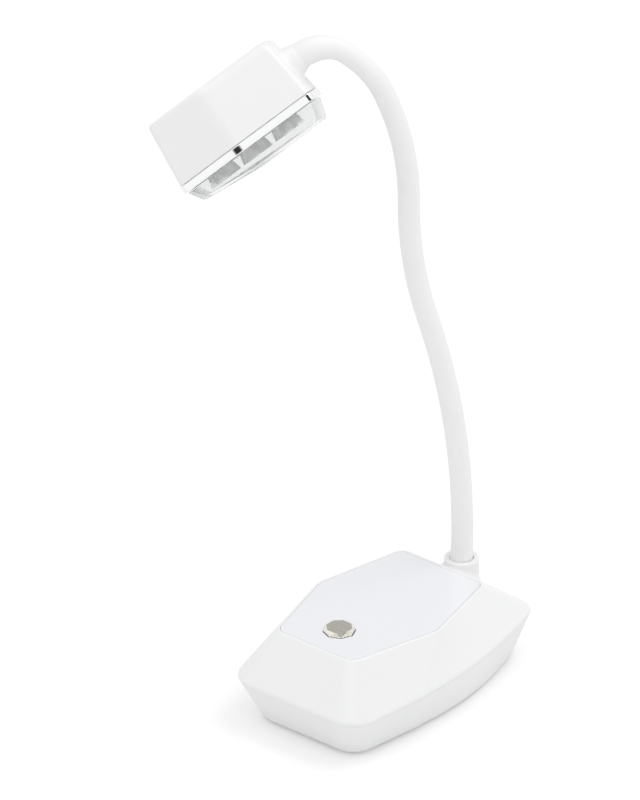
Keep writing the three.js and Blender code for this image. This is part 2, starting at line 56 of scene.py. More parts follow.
# Each level of the base: z, then (half width, y) at its front, middle and back, those corners' radii,
# and how far its rear sides swell outwards.
BASE_TOP = (44.6, [(22.4, -51.2), (34.4, -6), (24.0, 40.2)], [7, 14, 5], 0)
BASE_GIRTH = (22.3, [(36.2, -66.6), (41.4, -24), (30.8, 68.4)], [13, 18, 8], 3.6)
BASE_BOTTOM = (1.4, [(28.6, -57), (34.2, -19), (26.8, 60.5)], [11, 18, 11], 3.8)
BOWED_SIDES = (1, 3)              # counted from 0, the side after the right front corner
BASE_WALL = 2.2
RIM = 1.1
PANEL_THICK = 1.5
PAD_THICK = 2.2
PAD_INSET = 4
GAP = 0.3
SEAM = 0.06                       # half the width of a parting line as it shows
GIRTH_ROLL = 1.6                  # the facets round into the girth over this distance above it
UNDER_ROLL = GIRTH_ROLL * 0.8     # and over this distance below it
RECESS_FLOOR = BASE_TOP[0] - PANEL_THICK - GAP
SHELL_ROOF = RECESS_FLOOR - BASE_WALL
RECESS_ROOF = PAD_THICK + GAP

BUTTON_Y = -33
BUTTON_FLAT = 6.6
BUTTON_TOP_FLAT = 5.6
BUTTON_PROUD = 1.9
BUTTON_FACETS = 1.7

SOCKET_Z = 14
SOCKET_FRONT = 64.9

NECK_FOOT = (0, 52.7, 44.6)
NECK_HEADING = math.radians(50.6)
NECK_LEAN = math.radians(-2)
# Length, then turn in degrees.
NECK_ARCS = [(124.6, 18.6), (61, -16.8), (56, 23.2), (29.5, 30.2), (21, 72.8)]
NECK_LENGTH = sum(length for length, _ in NECK_ARCS)
NECK_RADIUS = 4.9
NECK_BORE = 3.5
HINGES = [22, 50, 78, 106, 134, 162, 190, 216, 242, 264]
HINGE_PACE = 28                   # the usual distance from hinge to hinge
BEND_REACH = 9                    # a length on each side of a hinge; the neck works out points there but does not use them
SLEEVE_FOOT = 33.3                # height of the sleeve's lower end, just above its ferrule
COLLAR_RADIUS = 7.85
COLLAR_BORE = 5.35                # closer round the sleeve than the CAD's, which leaves it more room
COLLAR_TOP = 43.8
COLLAR_FOOT = 33

HEAD_TOP = (14.8, [(12.0, 1.4), (19.2, 37.5), (12.0, 65.6)])
HEAD_BOTTOM = (-15, [(14.5, -1.4), (22.0, 38.2), (14.5, 69.2)])
HEAD_RADII = [3, 15, 2.5]         # the middle one is rounder than the CAD's
HEAD_WALL = 2
HEAD_ROLL = math.radians(30.6)
HEAD_BOSS = 5.8
TRIM_HEIGHT = 3.6
TRIM_PROUD = 0.4
LENS_TOP_INSET = 1.0
LENS_BOTTOM = [(11.8, 2.4), (19.5, 38.2), (12.0, 64.6)]
LENS_DEPTHS = (9.4, 9.7, 6.8)     # at the back, middle and front
LENS_WALL = 1.4
LAMP_PITCH = 17.5
LAMP_MIDDLE = 35

TRIM_TOP = HEAD_BOTTOM[0] - GAP
TRIM_FOOT = TRIM_TOP - TRIM_HEIGHT
LENS_TOP = TRIM_FOOT - GAP
SINK_TOP = -8.5
SINK_THICK = 2
LED_BOARD_THICK = 1.6
LAMP_TOP = SINK_TOP - SINK_THICK - GAP - LED_BOARD_THICK - GAP   # where the LEDs and cups start


# ---- Meshes ----

def mesh_piece(name, points, faces):
    """A mesh object from points in millimetres."""
    mesh = bpy.data.meshes.new(name)
    mesh.from_pydata([tuple(p * MM) for p in points], [], faces)
    mesh.validate()
    piece = bpy.data.objects.new(name, mesh)
    bpy.context.scene.collection.objects.link(piece)
    return piece


def skin(name, rings, joined=False):
    """A closed skin through rings of equal length. Its ends are capped, or joined to each other."""
    count = len(rings[0])
    points = [p for ring in rings for p in ring]
    faces = []
    for i in range(len(rings) if joined else len(rings) - 1):
        a, b = i * count, (i + 1) % len(rings) * count
        for j in range(count):
            k = (j + 1) % count
            faces.append((a + j, a + k, b + k, b + j))
    if not joined:
        faces.append(tuple(reversed(range(count))))
        faces.append(tuple(range(len(points) - count, len(points))))
    return mesh_piece(name, points, faces)


def turned(name, profile, sides=96, joined=False):
    """A round piece about Z from (radius, z) points that run counter-clockwise."""
    rings = []
    for radius, z in profile:
        angles = [2 * math.pi * j / sides for j in range(sides)]
        rings.append([Vector((radius * math.cos(a), radius * math.sin(a), z)) for a in angles])
    return skin(name, rings, joined)


def bake(piece):
    """Applies a piece's modifiers to its mesh."""
    graph = bpy.context.evaluated_depsgraph_get()
    mesh = bpy.data.meshes.new_from_object(piece.evaluated_get(graph))
    piece.modifiers.clear()
    piece.data = mesh


def combine(piece, others, operation):
    """Joins the other pieces to this one, or cuts them from it, and removes them."""
    for other in others:
        step = piece.modifiers.new("combine", "BOOLEAN")
        step.object = other
        step.operation = operation
        step.solver = "EXACT"
    bake(piece)
    for other in others:
        bpy.data.objects.remove(other)


def move(piece, matrix):
    """Moves a piece's mesh by a matrix whose shift is in millimetres."""
    shift = Matrix.Translation(matrix.to_translation() * MM)
    piece.data.transform(shift @ matrix.to_3x3().to_4x4())


def smooth(piece, angle, weighted=True):
    """Smooth shading, with edges sharper than an angle kept crisp."""
    mesh = piece.data
    mesh.shade_smooth()
    mesh.set_sharp_from_angle(angle=math.radians(angle))
    if weighted:
        step = piece.modifiers.new("even_shading", "WEIGHTED_NORMAL")
        step.keep_sharp = True


def bevel(piece, width, angle=30):
    """Rounds the edges that are sharper than an angle."""
    step = piece.modifiers.new("edges", "BEVEL")
    step.width = width * MM
    step.segments = 2
    step.limit_method = "ANGLE"
    step.angle_limit = math.radians(angle)
    bake(piece)


def curve_round(corner, before, after, near, far, steps=6):
    """Points that round a corner, leaving it by a distance towards each neighbour."""
    start = corner + (before - corner).normalized() * near
    end = corner + (after - corner).normalized() * far
    points = []
    for i in range(steps + 1):
        t = i / steps
        points.append(start * (1 - t) ** 2 + corner * (2 * t * (1 - t)) + end * t ** 2)
    return points


def steps_between(a, b, count):
    return [a.lerp(b, i / count) for i in range(1, count)]


# ---- Plans ----

def inset(corners, distance):
    """A polygon whose sides are moved inwards by a distance."""
    moved = []
    for i, corner in enumerate(corners):
        a = (corner - corners[i - 1]).normalized()
        b = (corners[(i + 1) % len(corners)] - corner).normalized()
        half = a.angle(b) / 2
        inward = Vector((-a.y - b.y, a.x + b.x)).normalized()
        moved.append(corner + inward * distance / math.cos(half))
    return moved


def outline(corners, radii, bow=0.0, arc_steps=10, side_steps=8):
    """A polygon with rounded corners, with the same number of points whatever its size."""
    arcs = []
    for i, corner in enumerate(corners):
        a = (corner - corners[i - 1]).normalized()
        b = (corners[(i + 1) % len(corners)] - corner).normalized()
        turn = a.angle(b)
        radius = radii[i]
        start = corner - a * radius * math.tan(turn / 2)
        centre = start + Vector((-a.y, a.x)) * radius
        arc = []
        for k in range(arc_steps + 1):
            spoke = start - centre
            spoke.rotate(Matrix.Rotation(turn * k / arc_steps, 2))
            arc.append(centre + spoke)
        arcs.append(arc)
    points = []
    for i, arc in enumerate(arcs):
        points += arc
        after = arcs[(i + 1) % len(arcs)][0]
        along = (after - arc[-1]).normalized()
        swell = bow if i in BOWED_SIDES else 0.0
        outward = Vector((along.y, -along.x)) * 4 * swell
        for k in range(1, side_steps):
            t = k / side_steps
            points.append(arc[-1].lerp(after, t) + outward * t * (1 - t))
    return points


def mirrored(radii):
    """The radii of one side's corners, then the same for the other side."""
    return list(radii) + list(reversed(radii))


def base_ring(level, distance=0.0, z=None):
    """A level's outline, inset by a distance, at its own height or another."""
    height, ends, radii, bow = level
    right = [Vector((w, y)) for w, y in ends]
    left = [Vector((-w, y)) for w, y in reversed(ends)]
    corners = inset(right + left, distance)
    plan = outline(corners, mirrored([max(r - distance, 1.5) for r in radii]), bow)
    return [Vector((p.x, p.y, height if z is None else z)) for p in plan]


def base_between(low, high, z):
    """The base's level at a height between two others."""
    t = (z - low[0]) / (high[0] - low[0])
    mix = lambda a, b: a + (b - a) * t
    ends = [(mix(p[0], q[0]), mix(p[1], q[1])) for p, q in zip(low[1], high[1])]
    return (z, ends, [mix(p, q) for p, q in zip(low[2], high[2])], mix(low[3], high[3]))


def head_ring(ends, distance, z):
    """A level's outline, inset by a distance. z is a height or a function of the place along the head."""
    near = [Vector((x, -w)) for w, x in ends]
    far = [Vector((x, w)) for w, x in reversed(ends)]
    corners = inset(near + far, distance)
    plan = outline(corners, mirrored([max(r - distance, 0.8) for r in HEAD_RADII]))
    height = z if callable(z) else lambda x: z
    return [Vector((p.x, p.y, height(p.x))) for p in plan]


def by_column(rings, build):
    """Turns rings into columns, lets build shape each column, and returns rings again."""
    columns = [build(column) for column in zip(*rings)]
    return [list(ring) for ring in zip(*columns)]


# ---- The neck's centre line ----

HEADWARD = Vector((-math.cos(NECK_HEADING), -math.sin(NECK_HEADING), 0))
UPWARD = Vector((0, 0, 1))
SIDEWAYS = UPWARD.cross(HEADWARD)


def neck_at(distance):
    """The point, direction and upper normal of the neck at a distance along it."""
    lean, along, up, left = NECK_LEAN, 0.0, 0.0, distance
    if left < 0:
        along, up = math.sin(lean) * left, math.cos(lean) * left
    for length, turn in NECK_ARCS:
        if left <= 0:
            break
        radius = length / math.radians(turn)
        end = lean + min(left, length) / radius
        along += radius * (math.cos(lean) - math.cos(end))
        up += radius * (math.sin(end) - math.sin(lean))
        lean = end
        left -= length
    point = HEADWARD * along + UPWARD * up + Vector(NECK_FOOT)
    tangent = HEADWARD * math.sin(lean) + UPWARD * math.cos(lean)
    normal = UPWARD * math.sin(lean) - HEADWARD * math.cos(lean)
    return point, tangent, normal


def smoothstep(value, low, high):
    t = min(max((value - low) / (high - low), 0), 1)
    return t * t * (3 - 2 * t)


def sleeve_radius(distance):
    """The sleeve is a little wider at its foot, and widens into the head."""
    foot = 0.3 * smoothstep(6 - distance, 0, 8)
    head = 1.1 * smoothstep(distance, NECK_LENGTH - 20, NECK_LENGTH - 2)
    return NECK_RADIUS + foot + head


neck_end, neck_aim, neck_normal = neck_at(NECK_LENGTH)
head_up = neck_normal.copy()
head_up.rotate(Matrix.Rotation(HEAD_ROLL, 3, neck_aim))
head_side = head_up.cross(neck_aim)
HEAD_PLACE = Matrix((neck_aim, head_side, head_up)).transposed().to_4x4()
HEAD_PLACE.translation = neck_end + neck_aim * HEAD_BOSS


# ---- Materials ----

class Shader:
    """A principled material whose detail comes from noise in the piece's own coordinates."""

    def __init__(self, name, colour, roughness, metallic=0.0):
        self.material = bpy.data.materials.new(name)
        self.material.use_nodes = True
        self.tree = self.material.node_tree
        self.shader = self.tree.nodes["Principled BSDF"]
        self.shader.inputs["Base Color"].default_value = (*colour, 1)
        self.shader.inputs["Roughness"].default_value = roughness
        self.shader.inputs["Metallic"].default_value = metallic
        self.place = self.tree.nodes.new("ShaderNodeTexCoord").outputs["Object"]
        self.height = None

    def set(self, **values):
        for key, value in values.items():
            self.shader.inputs[key.replace("_", " ")].default_value = value
        return self

    def join(self, source, target):
        self.tree.links.new(source, target)

    def noise(self, size, detail=3.0, stretch=None):
        """Noise whose features are about size millimetres across."""
        node = self.tree.nodes.new("ShaderNodeTexNoise")
        node.inputs["Scale"].default_value = 1000 / size
        node.inputs["Detail"].default_value = detail
        place = self.place
        if stretch:
            mapping = self.tree.nodes.new("ShaderNodeMapping")
            mapping.inputs["Scale"].default_value = stretch
            self.join(place, mapping.inputs["Vector"])
            place = mapping.outputs["Vector"]
        self.join(place, node.inputs["Vector"])
        return node.outputs["Fac"]

    def between(self, source, low, high, soft=(0.3, 0.7)):
        node = self.tree.nodes.new("ShaderNodeMapRange")
        node.inputs["From Min"].default_value = soft[0]
        node.inputs["From Max"].default_value = soft[1]
        node.inputs["To Min"].default_value = low
        node.inputs["To Max"].default_value = high
        self.join(source, node.inputs["Value"])
        return node.outputs["Result"]

    def rough(self, size, low, high, stretch=None):
        value = self.between(self.noise(size, stretch=stretch), low, high)
        self.join(value, self.shader.inputs["Roughness"])
        return self

    def tint(self, size, one, other, stretch=None, soft=(0.3, 0.7)):
        node = self.tree.nodes.new("ShaderNodeMix")
        node.data_type = "RGBA"
        node.inputs["A"].default_value = (*one, 1)
        node.inputs["B"].default_value = (*other, 1)
        share = self.between(self.noise(size, stretch=stretch), 0, 1, soft)
        self.join(share, node.inputs["Factor"])
        self.join(node.outputs["Result"], self.shader.inputs["Base Color"])
        return self

    def relief(self, size, depth, stretch=None, detail=3.0):
        """Adds a bump whose depth is in millimetres."""
        node = self.tree.nodes.new("ShaderNodeBump")
        node.inputs["Distance"].default_value = depth * MM
        self.join(self.noise(size, detail, stretch), node.inputs["Height"])
        if self.height is not None:
            self.join(self.height, node.inputs["Normal"])
        self.height = node.outputs["Normal"]
        self.join(self.height, self.shader.inputs["Normal"])
        return self


def white_plastic():
    look = Shader("white_plastic", (0.86, 0.86, 0.865), 0.34)
    look.tint(60, (0.865, 0.865, 0.868), (0.85, 0.852, 0.858))
    return look.rough(9, 0.3, 0.4).relief(0.7, 0.006).relief(26, 0.03, detail=1)


def panel_plastic():
    look = Shader("panel_plastic", (0.84, 0.846, 0.872), 0.22)
    look.tint(50, (0.846, 0.851, 0.877), (0.834, 0.84, 0.867))
    return look.rough(14, 0.18, 0.26).relief(0.4, 0.001).set(Coat_Weight=0.3, Coat_Roughness=0.1)


def white_silicone():
    look = Shader("white_silicone", (0.86, 0.86, 0.86), 0.5)
    look.tint(35, (0.87, 0.87, 0.87), (0.85, 0.85, 0.853))
    return look.rough(6, 0.46, 0.58).relief(0.35, 0.012).relief(9, 0.05, detail=1)


def grey_rubber():
    look = Shader("grey_rubber", (0.3, 0.3, 0.31), 0.85)
    look.tint(4, (0.28, 0.28, 0.29), (0.34, 0.34, 0.35))
    return look.rough(2, 0.75, 0.95).relief(0.5, 0.12)


def black_plastic():
    look = Shader("black_plastic", (0.03, 0.03, 0.032), 0.6)
    look.tint(8, (0.026, 0.026, 0.028), (0.04, 0.04, 0.042))
    return look.rough(3, 0.5, 0.7).relief(0.5, 0.02)


def green_board():
    look = Shader("green_board", (0.03, 0.18, 0.08), 0.4)
    look.tint(1.6, (0.02, 0.15, 0.065), (0.04, 0.22, 0.1), soft=(0.48, 0.52))
    return look.rough(4, 0.32, 0.48).relief(1.6, 0.02)


def white_board():
    look = Shader("white_board", (0.85, 0.85, 0.83), 0.38)
    look.tint(3, (0.87, 0.87, 0.85), (0.8, 0.8, 0.78), soft=(0.46, 0.54))
    return look.rough(5, 0.3, 0.45).relief(3, 0.02)


def zinc_steel():
    look = Shader("zinc_steel", (0.55, 0.56, 0.58), 0.35, 1)
    return look.tint(5, (0.5, 0.51, 0.53), (0.6, 0.61, 0.63)).rough(2, 0.26, 0.46).relief(0.6, 0.01)


def spring_steel():
    look = Shader("spring_steel", (0.42, 0.43, 0.45), 0.4, 1)
    return look.tint(4, (0.38, 0.39, 0.41), (0.47, 0.48, 0.5)).rough(1, 0.3, 0.5).relief(0.4, 0.015)


def nickel():
    look = Shader("nickel", (0.86, 0.83, 0.76), 0.26, 1)
    lines = (1, 40, 1)
    look.tint(12, (0.8, 0.77, 0.69), (0.93, 0.9, 0.84), stretch=lines)
    return look.rough(8, 0.2, 0.32, stretch=lines).relief(4, 0.004, stretch=lines)


def chrome():
    look = Shader("chrome", (0.94, 0.945, 0.95), 0.06, 1)
    look.tint(30, (0.93, 0.935, 0.94), (0.95, 0.953, 0.957))
    return look.rough(7, 0.03, 0.09).relief(12, 0.02, detail=1)


def mirror_coat():
    look = Shader("mirror_coat", (0.94, 0.94, 0.94), 0.22, 0.7)
    return look.tint(5, (0.91, 0.91, 0.92), (0.96, 0.96, 0.96)).rough(3, 0.16, 0.28).relief(1.5, 0.06)


def aluminium():
    look = Shader("aluminium", (0.7, 0.71, 0.73), 0.35, 1)
    lines = (1, 30, 1)
    look.tint(20, (0.66, 0.67, 0.69), (0.74, 0.75, 0.77), stretch=lines)
    return look.rough(6, 0.28, 0.42, stretch=lines).relief(4, 0.01, stretch=lines)


def clear_plastic():
    """Clear but a little grey, and denser where it is seen edge on."""
    look = Shader("clear_plastic", (0.66, 0.68, 0.69), 0.05)
    look.set(IOR=1.47)
    facing = look.tree.nodes.new("ShaderNodeLayerWeight").outputs["Facing"]
    look.join(look.between(facing, 0.12, 0.8, (0.4, 1)), look.shader.inputs["Alpha"])
    look.tint(14, (0.64, 0.66, 0.67), (0.69, 0.71, 0.72))
    return look.rough(11, 0.03, 0.08).relief(18, 0.06, detail=1)


def cell_wrap():
    look = Shader("cell_wrap", (0.08, 0.17, 0.4), 0.4)
    look.tint(12, (0.07, 0.155, 0.37), (0.095, 0.19, 0.43))
    return look.rough(5, 0.3, 0.45).relief(7, 0.05, detail=1)


def phosphor():
    look = Shader("phosphor", (0.8, 0.72, 0.36), 0.4)
    return look.tint(1.2, (0.82, 0.74, 0.4), (0.74, 0.64, 0.3)).rough(2, 0.3, 0.5).relief(0.3, 0.02)


LOOKS = {
    look.__name__: look().material
    for look in (
        white_plastic, panel_plastic, white_silicone, grey_rubber, black_plastic, green_board, white_board,
        zinc_steel, spring_steel, nickel, chrome, aluminium, clear_plastic, cell_wrap, phosphor,
    )
}
MIRROR = mirror_coat().material   # the cups' finish: a mirror coat, duller than chrome


def dress(piece, look, body=None, nodes=(), material=None):
    """Gives a piece its finish, the body it rides on and the CAD nodes it stands for."""
    piece.data.materials.clear()
    piece.data.materials.append(material or LOOKS[look])
    if body:
        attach(piece, body)
    if nodes:
        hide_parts(*nodes)


# ---- Base ----

def octagon(flat, turn, z):
    """A ring round the button's axis, from half the distance across its flats."""
    corner = flat / math.cos(math.pi / 8)
    angles = [turn + i * math.pi / 4 for i in range(8)]
    return [Vector((corner * math.cos(a), corner * math.sin(a) + BUTTON_Y, z)) for a in angles]


def base_upper():
    """The upper shell: soft girth and rim, the panel's recess, a hollow, the collar and the button hole."""
    top_soft = 0.7

    def column(points):
        floor_in, floor, rim, top, girth, bottom = points
        under = girth + (bottom - girth).normalized() * UNDER_ROLL
        under_in = under.lerp(Vector((0, 0, under.z)), 0.05)
        path = [under_in]
        path += curve_round(girth, under, top, UNDER_ROLL, GIRTH_ROLL)
        path += steps_between(path[-1], top + (girth - top).normalized() * top_soft, 6)
        path += curve_round(top, girth, rim, top_soft, 0.6, 5)
        path += curve_round(rim, top, floor, 0.25, 0.25, 3)
        path += [floor, floor_in]
        return path

    shell = skin("base_upper_shell_look", by_column([
        base_ring(BASE_TOP, RIM + 3, RECESS_FLOOR),
        base_ring(BASE_TOP, RIM + 0.01, RECESS_FLOOR),
        base_ring(BASE_TOP, RIM),
        base_ring(BASE_TOP),
        base_ring(BASE_GIRTH),
        base_ring(BASE_BOTTOM),
    ], column))
    hollow = skin("hollow", [
        base_ring(BASE_GIRTH, BASE_WALL, BASE_GIRTH[0] - 6),
        base_ring(BASE_GIRTH, BASE_WALL, BASE_GIRTH[0]),
        base_ring(base_between(BASE_GIRTH, BASE_TOP, SHELL_ROOF), BASE_WALL),
    ])
    hole = skin("hole", [octagon(BUTTON_FLAT + GAP, 0, z) for z in (SHELL_ROOF - 2, RECESS_FLOOR + 2)])
    combine(shell, [hollow, hole], "DIFFERENCE")
    combine(shell, [collar()], "UNION")
    bore = turned("bore", [(COLLAR_BORE, z) for z in (COLLAR_FOOT, BASE_TOP[0] + 3)])
    bore.data.transform(Matrix.Translation(Vector((*NECK_FOOT[:2], 0)) * MM))
    combine(shell, [bore], "DIFFERENCE")
    smooth(shell, 40)
    dress(shell, "white_plastic", "base", ["base_upper_shell"])


def collar():
    """A stub that flares into the sloping back facet, with a rounded lip."""
    x, y = NECK_FOOT[:2]
    top = BASE_TOP[1][2][1]
    back = BASE_GIRTH[1][2][1]
    slope = (BASE_TOP[0] - BASE_GIRTH[0]) / (back - top)
    facet = lambda place: BASE_TOP[0] - (place - top) * slope
    sides = 128
    flare_out = 3.4
    flare_up = 4.2
    edge = COLLAR_RADIUS + flare_out
    columns = []
    for j in range(sides):
        angle = 2 * math.pi * j / sides
        away = Vector((math.cos(angle), math.sin(angle), 0))
        at = lambda r, z: Vector((x, y, 0)) + away * r + UPWARD * z
        foot = at(edge, facet(y + away.y * edge) - 0.04)
        corner = at(COLLAR_RADIUS, facet(y + away.y * COLLAR_RADIUS))
        lip = at(COLLAR_RADIUS, COLLAR_TOP)
        rise = min(flare_up, COLLAR_TOP - 1.3 - corner.z)
        flare = curve_round(corner, foot, lip, (foot - corner).length, rise, 10)
        rim = curve_round(lip, at(COLLAR_RADIUS, 0), at(0, COLLAR_TOP), 0.9, 0.9, 6)
        mouth = curve_round(at(COLLAR_BORE, COLLAR_TOP), lip, at(COLLAR_BORE, 0), 0.5, 0.5, 5)
        columns.append([at(edge - 0.5, foot.z - 2.2), foot - UPWARD * 0.6, *flare, *rim, *mouth])
    return skin("collar", [list(ring) for ring in zip(*columns)])


def base_lower():
    """The lower shell: soft bottom edge, a recess for the pad, a hollow and the inlet's mouth."""
    def column(points):
        roof_in, roof, edge, bottom, girth = points
        start = girth + (bottom - girth).normalized() * (UNDER_ROLL + 2 * SEAM)
        path = [roof_in, roof]
        path += curve_round(edge, roof, bottom, 0.3, 0.3, 3)
        path += curve_round(bottom, edge, girth, 1.1, 1.3, 6)
        path += steps_between(path[-1], start, 6)
        path += [start, start.lerp(Vector((0, 0, start.z)), 0.05)]
        return path

    shell = skin("base_lower_shell_look", by_column([
        base_ring(BASE_BOTTOM, PAD_INSET + 3, RECESS_ROOF),
        base_ring(BASE_BOTTOM, PAD_INSET - GAP, RECESS_ROOF),
        base_ring(BASE_BOTTOM, PAD_INSET - GAP),
        base_ring(BASE_BOTTOM),
        base_ring(BASE_GIRTH),
    ], column))
    hollow = skin("hollow", [
        base_ring(base_between(BASE_BOTTOM, BASE_GIRTH, RECESS_ROOF + BASE_WALL), BASE_WALL),
        base_ring(BASE_GIRTH, BASE_WALL, BASE_GIRTH[0] - 1.5),
        base_ring(BASE_GIRTH, BASE_WALL, BASE_GIRTH[0] + 2),
    ])
    combine(shell, [hollow], "DIFFERENCE")
    mouth = skin("mouth", [slot_ring(4.9, 2.0, y) for y in (75, 55)])
    combine(shell, [mouth], "DIFFERENCE")
    smooth(shell, 40)
    dress(shell, "white_plastic", "base", ["base_lower_shell"])


def slot_ring(half_width, half_height, y, sides=8):
    """A slot's outline with round ends, seen from the back, at a place along Y."""
    points = []
    for centre, start in ((half_width - half_height, -90), (half_height - half_width, 90)):
        for k in range(sides + 1):
            angle = math.radians(start + 180 * k / sides)
            across = centre + half_height * math.cos(angle)
            points.append(Vector((across, y, SOCKET_Z + half_height * math.sin(angle))))
    return points


def charging_inlet():
    """A drawn metal shell with rounded ends, and its tongue."""
    wall = 0.33
    soft = 0.08
    outer = lambda inset, depth: slot_ring(4.45 - inset, 1.62 - inset, SOCKET_FRONT - depth)
    shell = skin("socket_shell_look", [
        outer(0, 8),
        outer(0, 0.15),
        outer(soft, 0),
        outer(wall - soft, 0),
        outer(wall, 0.15),
        outer(wall, 7.4),
        slot_ring(0.6, 0.3, SOCKET_FRONT - 7.4),
    ])
    smooth(shell, 50)
    dress(shell, "zinc_steel", "base", ["socket_shell"])
    blade = lambda w, h, depth: slot_ring(w, h, SOCKET_FRONT - depth, 4)
    tongue = skin("socket_tongue_look", [blade(3.3, 0.35, 7), blade(3.3, 0.35, 1), blade(3.15, 0.22, 0.8)])
    smooth(tongue, 40)
    dress(tongue, "black_plastic", "base", ["socket_tongue"])


def top_panel():
    """The inlay, with a soft edge and a hole for the button that widens at the top."""
    floor = RECESS_FLOOR + 0.1
    gap = 0.14
    hole_soft = 0.25

    def column(points):
        foot_in, foot, edge, top_in = points
        path = [foot_in, foot]
        path += curve_round(edge, foot, top_in, 0.22, 0.22, 3)
        return path + [top_in]

    panel = skin("top_panel_look", by_column([
        base_ring(BASE_TOP, RIM + 6, floor),
        base_ring(BASE_TOP, RIM + gap, floor),
        base_ring(BASE_TOP, RIM + gap),
        base_ring(BASE_TOP, RIM + 6),
    ], column))
    hole = skin("hole", [
        octagon(BUTTON_FLAT + GAP, 0, floor - 1),
        octagon(BUTTON_FLAT + GAP, 0, BASE_TOP[0] - hole_soft),
        octagon(BUTTON_FLAT + GAP + 2 * hole_soft, 0, BASE_TOP[0] + hole_soft),
    ])
    combine(panel, [hole], "DIFFERENCE")
    smooth(panel, 30)
    dress(panel, "panel_plastic", "base", ["top_panel"])


def base_pad():
    """The anti-slip pad, with a soft lower edge."""
    def column(points):
        low_in, low, high = points
        path = [low_in]
        path += curve_round(low, low_in, high, 0.5, 0.5, 4)
        return path + [high]

    pad = skin("base_pad_look", by_column([
        base_ring(BASE_BOTTOM, PAD_INSET + 4, 0),
        base_ring(BASE_BOTTOM, PAD_INSET, 0),
        base_ring(BASE_BOTTOM, PAD_INSET, PAD_THICK),
    ], column))
    smooth(pad, 40)
    dress(pad, "grey_rubber", "base", ["base_pad"])


def button_cap():
    """A cut-gem cap: a brushed octagon over a ring of triangular facets, with a flange below the roof."""
    crown = BASE_TOP[0] + BUTTON_PROUD
    flange_top = SHELL_ROOF - GAP
    flange = BUTTON_FLAT + 1.2
    girdle = octagon(BUTTON_FLAT, 0, crown - BUTTON_FACETS)
    cap = skin("button_cap_look", [
        octagon(flange, 0, flange_top - 0.9),
        octagon(flange, 0, flange_top),
        octagon(BUTTON_FLAT, 0, flange_top),
        girdle,
    ])
    points = girdle + octagon(BUTTON_TOP_FLAT, math.pi / 8, crown)
    faces = [tuple(reversed(range(8))), tuple(range(8, 16))]
    for i in range(8):
        k = (i + 1) % 8
        faces += [(i, k, 8 + i), (k, 8 + k, 8 + i)]
    combine(cap, [mesh_piece("gem", points, faces)], "UNION")
    bevel(cap, 0.14, angle=12)
    smooth(cap, 14)
    dress(cap, "nickel", "button", ["button_cap"])


# ---- Neck ----

def neck_tube(name, start, end, sides=48, pace=1.6):
    """A hollow stretch of the sleeve between two distances along the neck."""
    count = math.ceil((end - start) / pace)

    def ring(distance, radius):
        point, _, normal = neck_at(distance)
        angles = [2 * math.pi * j / sides for j in range(sides)]
        return [point + normal * radius * math.cos(a) - SIDEWAYS * radius * math.sin(a) for a in angles]

    places = [start + (end - start) * i / count for i in range(count + 1)]
    rings = [ring(d, sleeve_radius(d)) for d in places]
    rings += [ring(d, NECK_BORE) for d in reversed(places)]
    tube = skin(name, rings, joined=True)
    smooth(tube, 40, weighted=False)
    return tube


def neck():
    """One unbroken sleeve: a piece across each hinge, from middle to middle, and a piece at each end."""
    before = [HINGES[0] - HINGE_PACE, *HINGES]
    after = [*HINGES, HINGES[-1] + HINGE_PACE]
    middles = [(a + b) / 2 for a, b in zip(before, after)]
    foot = neck_tube("neck_sleeve_foot", SLEEVE_FOOT - NECK_FOOT[2], middles[0])
    dress(foot, "white_silicone", "base", ["neck_sleeve_00"])
    for i, hinge in enumerate(HINGES):
        piece = neck_tube(f"neck_sleeve_bend_{i + 1:02d}", middles[i], middles[i + 1])
        dress(piece, "white_silicone", nodes=[f"neck_sleeve_{i:02d}", f"neck_sleeve_{i + 1:02d}"])
        start, end = (neck_at(hinge + side * BEND_REACH)[0] * MM for side in (-1, 1))
        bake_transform(piece)
    tip = neck_tube("neck_sleeve_tip", middles[-1], NECK_LENGTH - 0.1)
    dress(tip, "white_silicone", "head", ["neck_sleeve_10"])


# ---- Head ----

def head_piece(piece, look, nodes, material=None):
    """Puts a piece that was built in the head's own frame in its place, and dresses it."""
    move(piece, HEAD_PLACE)
    dress(piece, look, "head", nodes, material)


def head_shell():
    """The hood: a soft upper edge, a hollow open below, and the boss that the neck enters."""
    def soft(x):
        """The upper edge gets rounder from the head's middle to its rear."""
        return 2.2 + 2.6 * smoothstep(44 - x, 0, 16)

    def column(points):
        low_in, low, top, over = points
        reach = soft(top.x)
        path = [low_in]
        path += curve_round(low, low_in, top, 0.3, 0.4, 3)
        path += steps_between(path[-1], top + (low - top).normalized() * reach, 6)
        path += curve_round(top, low, over, reach, reach, 8)
        path += [over.lerp(Vector((36, 0, over.z)), 0.2)]
        return path

    shell = skin("head_shell_look", by_column([
        head_ring(HEAD_BOTTOM[1], HEAD_WALL + 3, HEAD_BOTTOM[0]),
        head_ring(HEAD_BOTTOM[1], 0, HEAD_BOTTOM[0]),
        head_ring(HEAD_TOP[1], 0, HEAD_TOP[0]),
        head_ring(HEAD_TOP[1], 6, HEAD_TOP[0]),
    ], column))
    hollow = skin("hollow", [
        head_ring(HEAD_BOTTOM[1], HEAD_WALL, HEAD_BOTTOM[0] - 1),
        head_ring(HEAD_TOP[1], HEAD_WALL + 1.5, HEAD_TOP[0] - HEAD_WALL),
    ])
    combine(shell, [hollow], "DIFFERENCE")
    combine(shell, [head_boss()], "UNION")
    seat_radius = 5.98
    seat = turned("seat", [(seat_radius, x) for x in (-HEAD_BOSS - 2, -1)], 64)
    seat.data.transform(Matrix.Rotation(math.pi / 2, 4, "Y"))
    combine(shell, [seat], "DIFFERENCE")
    smooth(shell, 40)
    head_piece(shell, "white_plastic", ["head_shell"])


